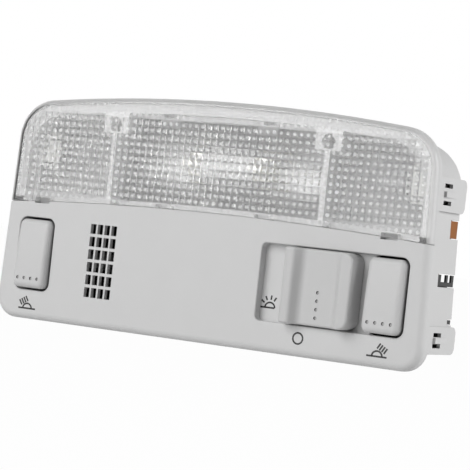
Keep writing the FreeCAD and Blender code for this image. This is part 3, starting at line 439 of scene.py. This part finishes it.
def bend_leaf(frame, side, finish):
    """A leaf cut into strips along its height, in place of the stiff one, which is hidden."""
    node = "button_leaf_" + side
    low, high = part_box(node)
    mesh = bmesh.new()
    mesh.from_mesh(frame["nodes"][node].data)
    bmesh.ops.remove_doubles(mesh, verts=mesh.verts, dist=WELD_DISTANCE)
    for i in range(1, math.ceil((high[2] - low[2]) / LEAF_STRIP)):
        everything = mesh.verts[:] + mesh.edges[:] + mesh.faces[:]
        place = (0.0, 0.0, low[2] + i * LEAF_STRIP)
        bmesh.ops.bisect_plane(mesh, geom=everything, plane_co=place, plane_no=(0.0, 0.0, 1.0))
    leaf = mesh_piece("contact_leaf_" + side, mesh, finish)
    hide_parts(node)
    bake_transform(leaf)


def stroke(mesh, points, y):
    """A printed line of even width along points given as (x, height)."""
    left = []
    right = []
    for i, p in enumerate(points):
        a = Vector(points[max(i - 1, 0)])
        b = Vector(points[min(i + 1, len(points) - 1)])
        along = (b - a).normalized()
        side = Vector((-along.y, along.x)) * SIGN_STROKE / 2
        left.append(Vector(p) + side)
        right.append(Vector(p) - side)
    rows = []
    for level in (y, y - INK_THICKNESS):
        for line in (left, right):
            rows.append([mesh.verts.new(Vector((q.x, level, q.y + FACE_BOTTOM)) * MM) for q in line])
    back_left, back_right, front_left, front_right = rows
    sides = ((front_left, front_right), (back_right, back_left),
             (back_left, front_left), (front_right, back_right))
    last = len(points) - 1
    for i in range(last):
        for a, b in sides:
            mesh.faces.new((a[i], a[i + 1], b[i + 1], b[i]))
    for i in (0, last):
        mesh.faces.new((back_left[i], front_left[i], front_right[i], back_right[i]))


def arc_points(x, height, radius_x, radius_z, end, count):
    """Points from the right-hand end of an ellipse to the angle end, in degrees."""
    points = []
    for i in range(count + 1):
        a = math.radians(end * i / count)
        points.append((x + radius_x * math.cos(a), height + radius_z * math.sin(a)))
    return points


def printed_sign(name, mesh, ink):
    sign = mesh_piece(name, mesh, ink)
    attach(sign, "lamp")


def dome_on_line(mesh, x, height, line, y):
    stroke(mesh, [(x - line[0], height), (x + line[1], height)], y)
    stroke(mesh, arc_points(x, height, DOME_WIDTH / 2, DOME_HEIGHT, 180, DOME_STEPS), y)


def reading_sign(name, place, side, ink):
    """Dome with slanting rays; side is 1 where they lean to the left and -1 to the right."""
    x, height = place
    mesh = bmesh.new()
    dome_on_line(mesh, x, height, READING_LINE, FACE_Y)
    for i in range(READING_RAYS):
        foot_x = x - side * (READING_RAY_FOOT[0] - READING_RAY_STEP[0] * i)
        foot = height + READING_RAY_FOOT[1] + READING_RAY_STEP[1] * i
        tip = (foot_x - side * READING_RAY_RUN[0], foot + READING_RAY_RUN[1])
        stroke(mesh, [(foot_x, foot), tip], FACE_Y)
    printed_sign(name, mesh, ink)


def cabin_sign(name, place, ink):
    """Dome with rays all round, on the floor of the selector's recess."""
    x, height = place
    mesh = bmesh.new()
    dome_on_line(mesh, x, height, CABIN_LINE, FLOOR_Y)
    for angle in CABIN_RAY_ANGLES:
        a = math.radians(angle)
        ray = [(x + r * math.cos(a), height + r * math.sin(a)) for r in CABIN_RAY_REACH]
        stroke(mesh, ray, FLOOR_Y)
    printed_sign(name, mesh, ink)


def off_sign(name, place, ink):
    x, height = place
    mesh = bmesh.new()
    stroke(mesh, arc_points(x, height, RING_RADIUS, RING_RADIUS, 360, RING_STEPS), FACE_Y)
    printed_sign(name, mesh, ink)


def print_signs():
    ink = sign_ink("black_sign_ink")
    reading_sign("sign_reading_left", READING_LEFT, 1, ink)
    reading_sign("sign_reading_right", READING_RIGHT, -1, ink)
    cabin_sign("sign_cabin_light", CABIN_LIGHT, ink)
    off_sign("sign_off", OFF_PLACE, ink)


def lay_floor(low):
    """Pale floor below the lamp, nearly white to the camera but still shaded."""
    finish = new_finish("pale_floor")
    tone = finish.noise(scale=3.0, detail=2.0)
    lit = finish.shader("ShaderNodeBsdfDiffuse", {"Color": finish.tint(tone, grey(0.78), grey(0.82))})
    white = finish.shader("ShaderNodeEmission", {"Color": grey(1.0) + (1.0,), "Strength": 1.0})
    bpy.ops.mesh.primitive_plane_add(size=FLOOR_SIZE, location=(0.0, 0.0, low - FLOOR_DROP))
    floor = bpy.context.object
    floor.name = "floor"
    floor.data.materials.append(finish.show(finish.mix_shaders(finish.seen() * FLOOR_WHITE, lit, white)))


def light_world():
    """Dim even light, white where the camera sees it."""
    finish = Finish(bpy.data.worlds.new("studio"), "ShaderNodeOutputWorld")
    dim, white = [finish.shader("ShaderNodeBackground", {"Color": grey(1.0) + (1.0,), "Strength": level})
                  for level in (WORLD_LEVEL, 1.0)]
    bpy.context.scene.world = finish.show(finish.mix_shaders(finish.seen(), dim, white))


def area_light(name, place, size, watts):
    lamp = bpy.data.lights.new(name, "AREA")
    lamp.energy = watts
    lamp.size = size
    light = bpy.data.objects.new(name, lamp)
    light.location = place
    light.rotation_euler = (-Vector(place)).to_track_quat("-Z", "Y").to_euler()
    bpy.context.scene.collection.objects.link(light)


def place_camera():
    ahead = Vector((-math.sin(CAMERA_YAW) * math.cos(CAMERA_PITCH),
                    math.cos(CAMERA_YAW) * math.cos(CAMERA_PITCH), -math.sin(CAMERA_PITCH)))
    level = ahead.cross(Vector((0.0, 0.0, 1.0))).normalized()
    upright = level.cross(ahead)
    right = level * math.cos(CAMERA_ROLL) + upright * math.sin(CAMERA_ROLL)
    up = upright * math.cos(CAMERA_ROLL) - level * math.sin(CAMERA_ROLL)
    data = bpy.data.cameras.new("camera")
    data.lens = CAMERA_LENS
    data.sensor_width = CAMERA_SENSOR
    camera = bpy.data.objects.new("camera", data)
    turn = Matrix((right, up, -ahead)).transposed().to_4x4()
    camera.matrix_world = Matrix.Translation(CAMERA_PLACE) @ turn
    bpy.context.scene.collection.objects.link(camera)
    bpy.context.scene.camera = camera


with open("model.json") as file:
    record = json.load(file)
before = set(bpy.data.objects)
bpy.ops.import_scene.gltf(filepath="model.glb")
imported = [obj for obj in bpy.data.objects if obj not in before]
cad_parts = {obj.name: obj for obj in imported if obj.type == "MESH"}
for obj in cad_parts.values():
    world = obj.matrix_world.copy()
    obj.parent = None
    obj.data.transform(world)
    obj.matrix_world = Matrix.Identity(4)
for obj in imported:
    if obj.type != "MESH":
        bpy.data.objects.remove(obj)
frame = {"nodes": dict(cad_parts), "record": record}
cad_box = [list(corner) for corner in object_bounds()]
bpy.context.scene.view_settings.view_transform = "Standard"
finishes = make_finishes()
paint_nodes(frame, finishes)
for side in ("left", "right"):
    bend_leaf(frame, side, finishes["contact_brass"])
print_signs()
lay_floor(cad_box[0][2])
light_world()
area_light("key_light", KEY_PLACE, KEY_SIZE, KEY_WATTS)
area_light("side_light", SIDE_PLACE, SIDE_SIZE, SIDE_WATTS)
place_camera()
